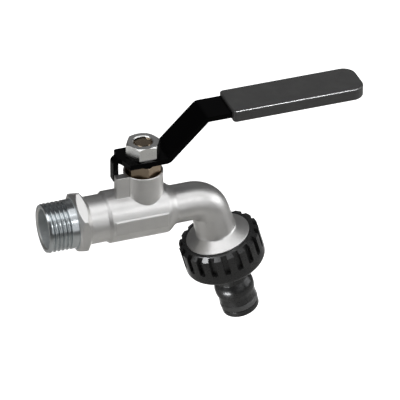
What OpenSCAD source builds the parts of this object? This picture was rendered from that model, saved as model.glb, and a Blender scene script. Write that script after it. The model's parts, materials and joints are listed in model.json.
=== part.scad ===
// Lever-operated quarter-turn tap with a threaded inlet, a bent spout and a screwed-on hose nipple.
// Units are millimetres. +Z is up, +X runs from the inlet to the spout.
// The origin is the centre of the inlet's end face. Rest pose: valve open, lever along the body.

/* [Inlet] */
// Outside radius of the inlet's pipe thread
inlet_thread_r = 10.4775; // [10.3:0.0025:10.6]
// Distance from the inlet's end face to the spanner collar
inlet_thread_len = 12.85; // [11:0.05:14]
// Radius at the end face, where the thread's lead-in starts
inlet_lead_r = 10.1; // [9.6:0.1:10.2]
// Length of the thread's lead-in
inlet_lead_len = 1; // [0.4:0.1:1.5]
// Radius of the bore behind the inlet, which also holds the ball and its seats
inlet_bore_r = 8.3; // [8.2:0.05:8.6]
// Size of the small bevel at the bore's mouth
inlet_bore_bevel = 0.6; // [0.2:0.05:0.8]

/* [Spanner collar] */
// Width across the flats of the hexagonal collar
collar_af = 24; // [23:0.5:25]
// Radius at which the collar's front bevel starts
collar_front_r = 11.15; // [10.8:0.05:11.6]
// Length of the front bevel
collar_front_len = 1.75; // [1:0.05:2.5]
// Length of the collar's crest between the bevels
collar_crest_len = 1.2; // [0.6:0.1:2.5]
// Length of the rear bevel, which runs down to the barrel
collar_rear_len = 2.9; // [2:0.1:3.5]

/* [Body] */
// Distance from the inlet's end face to the stem's axis
stem_x = 44; // [42:0.1:46]
// Radius of the barrel between the collar and the centre section
barrel_r = 10.12; // [9.9:0.02:10.4]
// Distance from the stem's axis back to the end of the barrel
barrel_end = 18; // [17.6:0.1:19]
// Length of the bevel between the barrel and the centre section
step_len = 1.3; // [0.8:0.1:1.6]
// Radius of the centre section
centre_r = 11.1; // [11:0.05:11.4]
// Distance from the stem's axis forward to the end of the centre section
centre_end = 8; // [7.5:0.1:8.4]
// Radius of the edge at the end of the centre section
shoulder_edge_r = 2.2; // [0.8:0.1:2.4]
// Angle of the shoulder's cone, measured from the body's axis
shoulder_angle = 38; // [34:1:45]
// Radius of the hollow fillet between the shoulder and the tube
shoulder_fillet_r = 3; // [1.5:0.1:3.5]

/* [Flat pads] */
// Distance from the stem's axis back to the rear end of the side pads
pad_rear = 15.8; // [14:0.1:16]
// Distance from the stem's axis forward to the front end of the side pads
pad_front = 7.5; // [6:0.1:7.5]
// Height of the side pads
pad_h = 6.6; // [5:0.1:7.5]
// Distance from the body's axis to the face of the side pads
pad_reach = 11.2; // [11.15:0.05:11.5]
// Bevel round the edge of the side pads
pad_bevel = 0.35; // [0.2:0.05:0.5]

/* [Spout] */
// Radius of the tube in front of the centre section
tube_r = 8.15; // [7.8:0.05:8.3]
// Distance from the stem's axis forward to the crossing of the body's and the outlet's axes
bend_x = 27.64; // [27:0.02:29]
// Lean of the outlet's axis away from the vertical
outlet_tilt = 15.4; // [10:0.1:20]
// Radius of the inside of the bend
bend_inner_r = 0.85; // [0.6:0.05:1.6]
// How much wider than the tube the spout's leg is shortly below the bend
leg_top_swell = 0.1; // [0:0.05:0.3]
// How much wider than the tube the spout's leg is at its lower end
leg_end_swell = 0.45; // [0.3:0.05:0.6]
// Distance along the outlet's axis at which the flange's cone starts
cone_s = 16.3; // [15.8:0.1:16.6]
// Size of the hollow between the leg and the flange's cone
cone_foot = 0.45; // [0.2:0.05:0.6]
// Distance along the outlet's axis of the flange's underside
rim_s = 19.87; // [19.6:0.01:20]
// Radius of the flange's rim
rim_r = 13.65; // [13.4:0.05:13.9]
// Thickness of the rim's straight edge
rim_edge = 0.25; // [0.1:0.05:0.5]
// Radius of the relief between the flange and the outlet's thread
outlet_relief_r = 12; // [11.6:0.1:12.4]
// Distance along the outlet's axis at which the outlet's thread starts
outlet_thread_s = 20.5; // [20.1:0.1:21]
// Length of the bevel at the start of the outlet's thread
outlet_lead_len = 0.7; // [0.5:0.05:0.9]
// Outside radius of the outlet's pipe thread
outlet_thread_r = 13.22; // [13.1:0.01:13.3]
// Bevel at the end of the outlet's thread
outlet_bevel = 0.9; // [0.5:0.1:1.2]
// Radius of the waterway through the ball, the seats and the spout
waterway_r = 5; // [4:0.1:5.2]

/* [Neck and stops] */
// Outside radius of the stem's neck
neck_r = 8.4; // [8.2:0.05:8.8]
// Height of the neck's rim above the body's axis
neck_top = 19.9; // [19.5:0.1:20.5]
// Radius of the wide bore in the neck, round the gland nut's hexagon
neck_bore_r = 7.6; // [7.6:0.01:7.8]
// Height of the floor of the wide bore
neck_bore_z = 17.6; // [17.2:0.1:17.8]
// Bevel round the neck's rim
neck_bevel = 0.3; // [0.1:0.05:0.35]
// Distance from the stem's axis to the outer faces of the stop lugs
lug_reach = 12.95; // [12:0.05:13.1]
// Thickness of each stop lug
lug_t = 3.6; // [3:0.1:4]
// Radius of the fillet at the foot of the rear lug
lug_foot_r = 1; // [0.5:0.1:1.2]
// Direction of the side lug's foot, measured from the stem's axis
lug_root_angle = 58; // [50:1:64]
// Height of the side lug's outer face
lug_face_h = 4.6; // [3.5:0.1:6]
// Gap left between the lever's tab and each lug at the ends of the travel
stop_gap = 0.05; // [0.03:0.01:0.1]

/* [Ball and seats] */
// Radius of the ball
ball_r = 7.9; // [7.7:0.05:8]
// Clearance between the ball and each seat
seat_fit = 0.05; // [0.02:0.01:0.1]
// Distance from the stem's axis to the inner edge of each seat
seat_inner = 4.6; // [4.2:0.1:5]
// Distance from the stem's axis to the flat back of each seat
seat_back = 7.6; // [7.2:0.1:7.8]
// How much wider than the waterway the seats' openings are
seat_step = 0.2; // [0.1:0.05:0.4]
// Radial gap between the seats or the retainer and the bore
bore_gap = 0.03; // [0.02:0.01:0.05]
// Length of the threaded ring that holds the seats and the ball in the bore
retainer_len = 5; // [4:0.5:7]
// Radius of the ring's opening
retainer_bore_r = 5.6; // [5.2:0.1:6]
// Width of the two key slots in the ring's outer face
key_slot_w = 2.4; // [1.8:0.2:3]
// Depth of the key slots
key_slot_depth = 1.8; // [1:0.2:2.4]

/* [Stem] */
// Radius of the stem where it runs through the gland nut
stem_r = 4; // [3.8:0.05:4.2]
// Radius of the stem's foot where it passes through the body's wall
foot_r = 4.4; // [4.3:0.05:4.8]
// Height of the lower end of the stem's tang above the body's axis
tang_z = 5.4; // [5.3:0.1:6]
// Thickness of the tang that turns the ball
tang_w = 3; // [2.6:0.1:3.4]
// Radius of the stem's collar
stem_collar_r = 5.7; // [5.4:0.05:5.8]
// Thickness of the stem's collar
stem_collar_t = 1.4; // [1:0.1:1.8]
// Width across the two flats on the stem's upper end
stem_flats = 6; // [5.6:0.1:6.4]
// Height of the stem's upper end
stem_top = 33; // [32:0.1:33.4]
// Bevel at the stem's upper end
stem_bevel = 0.8; // [0.4:0.1:1]
// Radial clearance of the stem in the parts that it turns in
running_fit = 0.05; // [0.03:0.01:0.08]
// Height play between turning faces that bear on each other
face_play = 0.02; // [0.01:0.01:0.04]

/* [Stem seals and gland nut] */
// Radius of the chamber for the packing and of the gland nut's threaded hole
chamber_r = 6; // [5.9:0.05:6.2]
// Height of the chamber's floor
chamber_z = 9.6; // [9.4:0.1:9.8]
// Thickness of the washer under the stem's collar
thrust_t = 1; // [0.8:0.1:1.2]
// Thickness of each of the two packing rings
packing_t = 1.2; // [1:0.1:1.3]
// Width across the flats of the gland nut
gland_af = 13; // [12.6:0.05:13]
// Height of the underside of the gland nut's hexagon
gland_hex_z = 17.8; // [17.7:0.1:18]
// Height of the gland nut's upper face
gland_top = 24.4; // [23.5:0.1:24.8]
// Bevel on the gland nut's corners
gland_bevel = 0.9; // [0.5:0.1:1.2]

/* [Lever] */
// Thickness of the lever's sheet
sheet_t = 2.3; // [2:0.1:2.6]
// Width of the lever's strip
lever_w = 14.8; // [14:0.1:15.6]
// Height of the underside of the lever's flat plate
plate_z = 25.1; // [25:0.05:25.6]
// Distance from the stem's axis to the outer face of the stop tab
tab_outer = 13.2; // [13:0.05:13.6]
// Distance from the stem's axis to the plate's rear edge, on the far side of the tab
plate_rear = 10.6; // [10.4:0.05:10.8]
// Radius of the plate's far rear corner
plate_corner_r = 1.2; // [0.6:0.1:1.6]
// Radius of the hollow corner between the plate's rear edge and the tab
tab_fillet_r = 1.4; // [0.8:0.1:1.6]
// Distance from the stem's axis to the inner corner of the notch on the near side of the tab
notch_x = 10.1; // [9.8:0.1:10.4]
// Depth of that notch, measured across from the tab's edge
notch_y = 1.15; // [0.8:0.05:1.4]
// Distance from the stem's axis to the plate's near rear corner
plate_near_x = 8; // [7.6:0.1:8.4]
// Edge of the stop tab on the side that meets the rear lug
tab_near = -0.45; // [-0.8:0.05:0]
// Edge of the stop tab on the side that meets the side lug
tab_far = 3.6; // [3.2:0.05:3.9]
// Height of the tab's lower end
tab_z = 16.8; // [16.2:0.1:17.5]
// Inside radius of the sheet's bends
sheet_bend_r = 1; // [0.5:0.1:1.5]
// Inside radius of the tab's bend
tab_bend_r = 0.3; // [0.2:0.1:0.6]
// Distance from the stem's axis to the foot of the rising strip
rise_x = 9.32; // [9:0.02:10]
// Angle of the rising strip above the horizontal
rise_angle = 44.3; // [42:0.1:47]
// Height of the underside of the upper strip
arm_z = 41.6; // [40:0.1:44]
// Distance from the stem's axis to the far end of the upper strip
arm_end = 91; // [85:0.5:92]
// Radius of the upper strip's far corners
arm_corner_r = 3; // [1:0.5:4]

/* [Grip] */
// Distance from the stem's axis to the near end of the grip
grip_start = 36.6; // [35:0.1:40]
// Distance from the stem's axis to the far end of the grip
grip_end = 95.45; // [94:0.05:97]
// Width of the grip
grip_w = 18.6; // [17:0.1:19]
// Height of the grip's underside above the body's axis
grip_under = 1.6; // [1:0.05:2]
// Thickness of the grip over the strip
grip_over = 1.55; // [1:0.05:2]
// Radius of the grip's far corners, seen from above
grip_far_r = 5.5; // [4:0.1:7]
// Radius of the grip's near corners, seen from above
grip_near_r = 1.6; // [1:0.1:3]
// Radius of the grip's edges
grip_edge_r = 0.8; // [0.4:0.1:1]
// Gap between the grip's pocket and the strip
grip_fit = 0.02; // [0.01:0.01:0.05]

/* [Lever nut] */
// Width across the flats of the lever nut
lever_nut_af = 13; // [12.6:0.1:13.4]
// Height of the lever nut
lever_nut_h = 6.16; // [5.5:0.02:6.6]
// Angle of the nut's corner bevels
nut_bevel_angle = 30; // [20:1:35]
// Radius of the countersink at the nut's ends
nut_sink_r = 4.4; // [4.3:0.05:4.8]
// Radial gap in the nut's and the lever's holes round the stem
nut_gap = 0.03; // [0.02:0.01:0.06]

/* [Hose nut] */
// Distance along the outlet's axis of the hose nut's upper face
hose_nut_s = 20; // [20:0.02:20.1]
// Height of the hose nut
hose_nut_h = 14.3; // [14.2:0.1:15]
// Radius over the hose nut's ribs
hose_nut_r = 17.3; // [17:0.05:17.6]
// Radius of the flat part of the hose nut's upper face
hose_nut_top_r = 15; // [14.6:0.05:15.4]
// Height of the bevel round the upper face
hose_nut_bevel_h = 1.25; // [0.8:0.05:1.6]
// Radius of the hose nut's lower edge
hose_nut_edge_r = 2; // [1:0.1:2.4]
// Number of grip slots round the hose nut
slot_count = 19; // [15:1:22]
// Direction of the first slot round the outlet's axis
slot_start = -77.8; // [-90:0.1:-70]
// Width of each grip slot
slot_w = 2.6; // [2:0.1:3]
// Radius of the slots' floors
slot_floor_r = 15.4; // [15.2:0.05:15.8]
// Length of the slots, from the upper face
slot_len = 9; // [7:0.1:11]
// Radius of the slots' lower corners
slot_corner_r = 0.8; // [0.4:0.1:1]
// Radial clearance between the hose nut's thread and the outlet's
thread_fit = 0.05; // [0.03:0.01:0.08]
// Radius of the hollow below the hose nut's thread
hose_hollow_r = 12.4; // [12.2:0.05:12.8]
// Radius of the opening in the hose nut's lower lip
lip_hole_r = 8.7; // [8.65:0.01:8.8]
// Small bevel on the inner edges of the hose nut and of the nipple
edge_bevel = 0.3; // [0.2:0.05:0.35]

/* [Hose washer] */
// Outside radius of the flat washer in the hose nut
washer_r = 11.9; // [11.6:0.05:12]
// Radius of the washer's opening
washer_hole_r = 5.8; // [5.3:0.1:7]
// Thickness of the washer
washer_t = 2; // [1.6:0.1:2.2]

/* [Hose nipple] */
// Radius of the nipple's flange
flange_r = 11.95; // [11.6:0.05:12]
// Thickness of the nipple's flange
flange_t = 1.8; // [1.5:0.05:2]
// Distance along the outlet's axis of the flange's lower face
flange_s = 32.4; // [32.3:0.02:32.5]
// Radius of the collar that runs in the hose nut's lip
guide_r = 8.62; // [8.55:0.01:8.64]
// How much the guide collar stays above the hose nut's lower face
guide_gap = 0.4; // [0.2:0.1:0.8]
// Radius of the nipple's neck
nipple_neck_r = 7; // [6.6:0.1:7.2]
// Distance along the outlet's axis of the neck's lower end
nipple_neck_s = 43.2; // [42.5:0.1:44]
// Radius at the middle of the ramp between the neck and the bulge
ramp_r = 8.1; // [7.8:0.05:8.2]
// Distance along the outlet's axis of the middle of that ramp
ramp_s = 45.2; // [45:0.1:45.6]
// Radius of the bulge that a coupling's catches grip behind
bulge_r = 8.5; // [8.3:0.05:8.55]
// Distance along the outlet's axis of the bulge's upper end
bulge_s = 46.8; // [46.2:0.1:47.2]
// Length of the bulge
bulge_len = 1.9; // [1.4:0.1:2.2]
// Radius of the spigot that enters a hose coupling
spigot_r = 8; // [7.9:0.02:8.1]
// Distance along the outlet's axis of the spigot's upper end
spigot_s = 51.2; // [50.8:0.1:51.6]
// Distance along the outlet's axis of the seal groove's upper wall
groove_s = 53.9; // [53.6:0.1:54.4]
// Width of the seal groove
groove_w = 2.8; // [2.4:0.1:3.2]
// Distance along the outlet's axis of the nipple's lower end
nipple_end_s = 59.6; // [59:0.1:60]
// Radius of the nipple's lower edge
nipple_edge_r = 0.9; // [0.5:0.1:1]
// Radius of the nipple's bore
nipple_bore_r = 4.4; // [4:0.1:4.6]
// Depth of the seal groove
groove_depth = 2.2; // [1.6:0.1:2.6]
// How far the seal ring stands out of its groove
seal_rise = 0.15; // [0.1:0.05:0.25]
// Gap left between the seal ring and each wall of its groove
seal_gap = 0.05; // [0.02:0.01:0.1]
// Radius of the seal ring's edges
seal_edge_r = 0.6; // [0.3:0.1:0.9]

/* [Hidden] */

facets = 48;
hex_sides = 6;
arc_steps = 5;
cut = 1;
lap_len = 1.5;
lap_taper = 1.2;
lap_rise = 0.03;
leg_top_len = 2;
lug_root_sink = 0.6;
margin = 40;
packing_rings = 2;

collar_rear_x = inlet_thread_len + collar_front_len + collar_crest_len;
collar_corner_r = collar_af / 2 / cos(30);
barrel_end_x = stem_x - barrel_end;
centre_start_x = barrel_end_x + step_len;
centre_end_x = stem_x + centre_end;
bend_angle = 90 - outlet_tilt;
bend_r = tube_r + bend_inner_r;
bend_tangent = bend_r * tan(bend_angle / 2);
bend_start_x = stem_x + bend_x - bend_tangent;
outlet_end_s = flange_s - flange_t - washer_t;
tab_inner = tab_outer - sheet_t;
tab_bend_x = tab_inner - tab_bend_r;
packing_z = chamber_z + thrust_t + face_play + stem_collar_t + face_play;
packing_pitch = packing_t + face_play;
gland_z = packing_z + packing_rings * packing_pitch;
plate_top = plate_z + sheet_t;
slot_pitch = 360 / slot_count;
groove_floor_r = spigot_r - groove_depth;

$fn = facets;

// Points of an arc about (cx, cy) from angle a0 to angle a1.
function arc(cx, cy, r, a0, a1, n = arc_steps) =
    [for (i = [0:n]) let (a = a0 + (a1 - a0) * i / n) [cx + r * cos(a), cy + r * sin(a)]];

// Turns the local Z axis onto the body's axis.
module along_body() {
    rotate([0, 90, 0]) children();
}

// Puts the local Z axis on the outlet's axis, with its zero at the crossing with the body's axis.
module along_outlet() {
    translate([stem_x + bend_x, 0, 0]) rotate([0, 180 - outlet_tilt, 0]) children();
}

// Puts the local Z axis on the stem's axis.
module on_stem() {
    translate([stem_x, 0, 0]) children();
}

// A tube or rod that follows the spout's bend.
module bend(r) {
    translate([bend_start_x, 0, -bend_r])
        rotate([-90, 0, 0])
        rotate([0, 0, -90])
        rotate_extrude(angle = bend_angle)
        translate([bend_r, 0])
        circle(r = r);
}

// A plain ring about the local Z axis.
module ring(outer_r, inner_r, z, h) {
    translate([0, 0, z])
        rotate_extrude()
        translate([inner_r, 0])
        square([outer_r - inner_r, h]);
}

// Turned outline of the body from the inlet to the start of the bend.
module body_turned() {
    fillet_top = tube_r + shoulder_fillet_r * (1 - cos(shoulder_angle));
    edge_low = centre_r - shoulder_edge_r * (1 - cos(shoulder_angle));
    cone_x = centre_end_x + shoulder_edge_r * sin(shoulder_angle);
    fillet_x = cone_x + (edge_low - fillet_top) / tan(shoulder_angle);
    fillet_end_x = fillet_x + shoulder_fillet_r * sin(shoulder_angle);
    edge_arc = arc(centre_end_x, centre_r - shoulder_edge_r, shoulder_edge_r, 90, 90 - shoulder_angle);
    fillet_arc = arc(fillet_end_x, tube_r + shoulder_fillet_r, shoulder_fillet_r, 270 - shoulder_angle, 270);
    outline = concat(
        [[0, 0], [0, inlet_lead_r], [inlet_lead_len, inlet_thread_r], [inlet_thread_len, inlet_thread_r]],
        [[inlet_thread_len, barrel_r], [barrel_end_x, barrel_r], [centre_start_x, centre_r]],
        edge_arc,
        fillet_arc,
        [[bend_start_x, tube_r], [bend_start_x, 0]]
    );
    along_body() rotate_extrude() polygon([for (p = outline) [p[1], p[0]]]);
}

// Hexagonal collar with turned bevels on both sides.
module spanner_collar() {
    intersection() {
        along_body()
            translate([0, 0, inlet_thread_len])
            cylinder(r = collar_corner_r, h = collar_rear_x + collar_rear_len - inlet_thread_len, $fn = hex_sides);
        along_body()
            rotate_extrude()
            polygon([
                [0, inlet_thread_len],
                [collar_front_r, inlet_thread_len],
                [collar_corner_r, inlet_thread_len + collar_front_len],
                [collar_corner_r, collar_rear_x],
                [barrel_r, collar_rear_x + collar_rear_len],
                [0, collar_rear_x + collar_rear_len],
            ]);
    }
}

// Low pads with bevelled edges on the two sides of the centre section.
module side_pads() {
    x0 = stem_x - pad_rear;
    x1 = stem_x + pad_front;
    y1 = pad_reach;
    z1 = pad_h / 2;
    b = pad_bevel;
    intersection() {
        translate([0, 0, -z1])
            linear_extrude(height = pad_h)
            polygon([
                [x0, b - y1], [x0 + b, -y1], [x1 - b, -y1], [x1, b - y1],
                [x1, y1 - b], [x1 - b, y1], [x0 + b, y1], [x0, y1 - b],
            ]);
        translate([x0, 0, 0])
            rotate([90, 0, 90])
            linear_extrude(height = x1 - x0)
            polygon([
                [-y1, b - z1], [b - y1, -z1], [y1 - b, -z1], [y1, b - z1],
                [y1, z1 - b], [y1 - b, z1], [b - y1, z1], [-y1, z1 - b],
            ]);
    }
}

// Neck that holds the gland nut, with its bevelled rim.
module neck() {
    on_stem()
        rotate_extrude()
        polygon([
            [0, 0],
            [neck_r, 0],
            [neck_r, neck_top - neck_bevel],
            [neck_r - neck_bevel, neck_top],
            [0, neck_top],
        ]);
}

// Lug behind the neck that the lever's tab rests against when the valve is open.
module rear_lug() {
    foot_z = sqrt(centre_r ^ 2 - (tab_near - stop_gap - lug_t) ^ 2);
    foot_x = -lug_reach - lug_foot_r;
    foot_arc = arc(foot_x, foot_z + lug_foot_r, lug_foot_r, -90, 0);
    translate([stem_x, tab_near - stop_gap, 0])
        rotate([90, 0, 0])
        linear_extrude(height = lug_t)
        polygon(concat([[0, 0], [foot_x, 0]], foot_arc, [[-lug_reach, neck_top], [0, neck_top]]));
}

// Lug beside the neck that the lever's tab meets when the valve is closed.
module side_lug() {
    root_z = (centre_r - lug_root_sink) * cos(lug_root_angle);
    root_y = (centre_r - lug_root_sink) * sin(lug_root_angle);
    translate([stem_x + tab_far + stop_gap, 0, 0])
        rotate([90, 0, 90])
        linear_extrude(height = lug_t)
        polygon([
            [0, root_z],
            [root_y, root_z],
            [lug_reach, neck_top - lug_face_h],
            [lug_reach, neck_top],
            [0, neck_top],
        ]);
}

// Outside of the spout's leg, its conical flange and the outlet's thread.
module spout_leg() {
    leg_end_r = tube_r + leg_end_swell;
    along_outlet()
        rotate_extrude()
        polygon([
            [0, bend_tangent - lap_len],
            [tube_r - lap_taper, bend_tangent - lap_len],
            [tube_r + lap_rise, bend_tangent],
            [tube_r + leg_top_swell, bend_tangent + leg_top_len],
            [leg_end_r, cone_s - cone_foot],
            [leg_end_r + cone_foot / 4, cone_s],
            [leg_end_r + cone_foot, cone_s + cone_foot],
            [rim_r, rim_s - rim_edge],
            [rim_r, rim_s],
            [outlet_relief_r, rim_s],
            [outlet_relief_r, outlet_thread_s],
            [outlet_thread_r, outlet_thread_s + outlet_lead_len],
            [outlet_thread_r, outlet_end_s - outlet_bevel],
            [outlet_thread_r - outlet_bevel, outlet_end_s],
            [0, outlet_end_s],
        ]);
}

// Bore from the inlet through the ball's room, and the waterway through the spout.
module waterway() {
    b = inlet_bore_bevel;
    seat_x = stem_x + seat_back;
    along_body()
        rotate_extrude()
        polygon([
            [0, -cut],
            [inlet_bore_r + b + cut, -cut],
            [inlet_bore_r, b],
            [inlet_bore_r, seat_x],
            [waterway_r, seat_x],
            [waterway_r, bend_start_x],
            [0, bend_start_x],
        ]);
    bend(waterway_r);
    along_outlet()
        rotate_extrude()
        polygon([
            [0, bend_tangent - lap_len],
            [waterway_r - lap_taper, bend_tangent - lap_len],
            [waterway_r + lap_rise, bend_tangent],
            [waterway_r + lap_rise, outlet_end_s + cut],
            [0, outlet_end_s + cut],
        ]);
}

// Stepped hole for the stem, its seals and the gland nut.
module stem_hole() {
    b = neck_bevel;
    on_stem()
        rotate_extrude()
        polygon([
            [0, 0],
            [foot_r + running_fit, 0],
            [foot_r + running_fit, chamber_z],
            [chamber_r, chamber_z],
            [chamber_r, neck_bore_z],
            [neck_bore_r, neck_bore_z],
            [neck_bore_r, neck_top - b],
            [neck_bore_r + b + cut, neck_top + cut],
            [0, neck_top + cut],
        ]);
}

module tap_body() {
    color("silver")
        difference() {
            union() {
                body_turned();
                spanner_collar();
                side_pads();
                neck();
                rear_lug();
                side_lug();
                bend(tube_r);
                spout_leg();
            }
            waterway();
            stem_hole();
        }
}

module ball_retainer() {
    outer_r = inlet_bore_r - bore_gap;
    start_x = stem_x - seat_back - retainer_len;
    color("goldenrod")
        difference() {
            along_body() ring(outer_r, retainer_bore_r, start_x, retainer_len);
            translate([start_x - cut, -margin / 2, -key_slot_w / 2])
                cube([key_slot_depth + cut, margin, key_slot_w]);
        }
}

// Ring with a hollow face that fits the ball. Side is -1 towards the inlet and 1 towards the spout.
module seat(side) {
    x0 = side > 0 ? seat_inner : -seat_back;
    difference() {
        on_stem()
            along_body()
            ring(inlet_bore_r - bore_gap, waterway_r + seat_step, x0, seat_back - seat_inner);
        on_stem() sphere(r = ball_r + seat_fit);
    }
}

module inlet_seat() {
    color("white") seat(-1);
}

module outlet_seat() {
    color("white") seat(1);
}

module ball() {
    slot_w_ball = tang_w + 2 * running_fit;
    slot_z = tang_z - running_fit;
    color("gainsboro")
        difference() {
            on_stem() sphere(r = ball_r);
            on_stem() along_body() translate([0, 0, -margin / 2]) cylinder(r = waterway_r, h = margin);
            translate([stem_x - slot_w_ball / 2, -margin / 2, slot_z])
                cube([slot_w_ball, margin, margin / 2]);
        }
}

module stem() {
    collar_z = chamber_z + thrust_t + face_play;
    collar_top = collar_z + stem_collar_t;
    color("goldenrod")
        on_stem()
        difference() {
            rotate_extrude()
                polygon([
                    [0, tang_z],
                    [foot_r, tang_z],
                    [foot_r, collar_z],
                    [stem_collar_r, collar_z],
                    [stem_collar_r, collar_top],
                    [stem_r, collar_top],
                    [stem_r, stem_top - stem_bevel],
                    [stem_r - stem_bevel, stem_top],
                    [0, stem_top],
                ]);
            for (side = [-1, 1]) {
                translate([side * (tang_w + foot_r) / 2 + (side * tang_w / 4), 0, (tang_z + ball_r) / 2])
                    cube([foot_r + tang_w / 2, margin, ball_r - tang_z + 2 * running_fit], center = true);
                translate([-margin / 2, side * (stem_flats + margin) / 2 - margin / 2, plate_z])
                    cube([margin, margin, margin]);
            }
        }
}

module stem_thrust_washer() {
    color("white")
        on_stem()
        ring(chamber_r - bore_gap, foot_r + running_fit, chamber_z, thrust_t);
}

module stem_packing() {
    color("white")
        on_stem()
        for (i = [0:packing_rings - 1])
            ring(chamber_r - bore_gap, stem_r + running_fit, packing_z + i * packing_pitch, packing_t);
}

module gland_nut() {
    corner_r = gland_af / 2 / cos(30);
    hex_h = gland_top - gland_hex_z;
    color("goldenrod")
        on_stem()
        difference() {
            union() {
                translate([0, 0, gland_z]) cylinder(r = chamber_r - bore_gap, h = gland_hex_z - gland_z + cut);
                intersection() {
                    translate([0, 0, gland_hex_z])
                        rotate([0, 0, 30])
                        cylinder(r = corner_r, h = hex_h, $fn = hex_sides);
                    rotate_extrude()
                        polygon([
                            [0, gland_hex_z],
                            [corner_r, gland_hex_z],
                            [corner_r, gland_top - gland_bevel * tan(nut_bevel_angle)],
                            [corner_r - gland_bevel, gland_top],
                            [0, gland_top],
                        ]);
                }
            }
            translate([0, 0, gland_z - cut]) cylinder(r = stem_r + running_fit, h = margin);
        }
}

// Side view of the bent strip: tab, plate, rising strip and upper strip. X is measured from the stem.
module lever_side() {
    outer_r = sheet_bend_r + sheet_t;
    low_tangent = outer_r * tan(rise_angle / 2);
    high_tangent = sheet_bend_r * tan(rise_angle / 2);
    rise_end_x = rise_x + (arm_z - plate_z) / tan(rise_angle);
    low_x = rise_x - low_tangent;
    low_z = plate_z + outer_r;
    high_x = rise_end_x + high_tangent;
    high_z = arm_z - sheet_bend_r;
    tab_outer_r = tab_bend_r + sheet_t;
    tab_cx = tab_outer_r - tab_outer;
    tab_cz = plate_top - tab_outer_r;
    under = concat(
        [[-tab_outer, tab_z], [-tab_inner, tab_z]],
        arc(tab_cx, tab_cz, tab_bend_r, 180, 90),
        arc(low_x, low_z, outer_r, -90, rise_angle - 90),
        arc(high_x, high_z, sheet_bend_r, 90 + rise_angle, 90),
        [[arm_end, arm_z], [arm_end, arm_z + sheet_t]]
    );
    over = concat(
        arc(high_x, high_z, outer_r, 90, 90 + rise_angle),
        arc(low_x, low_z, sheet_bend_r, rise_angle - 90, -90),
        arc(tab_cx, tab_cz, tab_outer_r, 90, 180)
    );
    polygon(concat(under, over));
}

// Outline of the strip seen from above, with the notched end round the tab and rounded far corners.
module lever_plan() {
    w = lever_w / 2;
    r = arm_corner_r;
    polygon(concat(
        [[-tab_outer - cut, tab_near], [-tab_inner, tab_near]],
        [[-notch_x, tab_near - notch_y], [-plate_near_x, -w]],
        arc(arm_end - r, r - w, r, -90, 0),
        arc(arm_end - r, w - r, r, 0, 90),
        arc(plate_corner_r - plate_rear, w - plate_corner_r, plate_corner_r, 90, 180),
        arc(-plate_rear - tab_fillet_r, tab_far + tab_fillet_r, tab_fillet_r, 0, -90),
        [[-tab_outer - cut, tab_far]]
    ));
}

module lever() {
    color("dimgray")
        on_stem()
        difference() {
            intersection() {
                translate([0, lever_w / 2, 0])
                    rotate([90, 0, 0])
                    linear_extrude(height = lever_w)
                    lever_side();
                linear_extrude(height = arm_z + sheet_t + cut) lever_plan();
            }
            intersection() {
                cylinder(r = stem_r + nut_gap, h = margin);
                translate([-margin / 2, -stem_flats / 2 - nut_gap, plate_z - cut])
                    cube([margin, stem_flats + 2 * nut_gap, sheet_t + 2 * cut]);
            }
            translate([-margin - tab_bend_x, tab_far, 0]) cube([margin, margin, plate_z]);
            translate([-margin - tab_bend_x, tab_near - margin, 0]) cube([margin, margin, plate_z]);
        }
}

// Half of the grip's rounded edge outline, from its flat middle out to width w.
module grip_edge(w, h) {
    r = grip_edge_r;
    polygon(concat([[0, 0]], arc(w - r, r, r, -90, 0), arc(w - r, h - r, r, 0, 90), [[0, h]]));
}

// One rounded corner of the grip, seen from above.
module grip_corner(x, y, r, start, h) {
    translate([x, y, 0])
        rotate([0, 0, start])
        rotate_extrude(angle = 90)
        grip_edge(r, h);
}

module lever_grip() {
    h = grip_under + sheet_t + grip_over;
    w = grip_w / 2;
    near_x = grip_start + grip_near_r;
    far_x = grip_end - grip_far_r;
    near_y = w - grip_near_r;
    far_y = w - grip_far_r;
    pocket_w = lever_w / 2 + grip_fit;
    pocket_end = arm_end + grip_fit;
    color("slategray")
        translate([stem_x, 0, arm_z - grip_under])
        difference() {
            union() {
                grip_corner(near_x, -near_y, grip_near_r, 180, h);
                grip_corner(near_x, near_y, grip_near_r, 90, h);
                grip_corner(far_x, -far_y, grip_far_r, 270, h);
                grip_corner(far_x, far_y, grip_far_r, 0, h);
                translate([near_x, 0, 0])
                    rotate([90, 0, 90])
                    linear_extrude(height = far_x - near_x)
                    union() {
                        grip_edge(w, h);
                        mirror([1, 0]) grip_edge(w, h);
                    }
                translate([near_x, near_y, 0])
                    rotate([90, 0, 0])
                    linear_extrude(height = 2 * near_y)
                    mirror([1, 0])
                    grip_edge(grip_near_r, h);
                translate([far_x, far_y, 0])
                    rotate([90, 0, 0])
                    linear_extrude(height = 2 * far_y)
                    grip_edge(grip_far_r, h);
            }
            translate([0, 0, grip_under - grip_fit])
                linear_extrude(height = sheet_t + 2 * grip_fit)
                polygon(concat(
                    [[grip_start - cut, -pocket_w]],
                    arc(pocket_end - arm_corner_r, arm_corner_r - pocket_w, arm_corner_r, -90, 0),
                    arc(pocket_end - arm_corner_r, pocket_w - arm_corner_r, arm_corner_r, 0, 90),
                    [[grip_start - cut, pocket_w]]
                ));
        }
}

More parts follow.
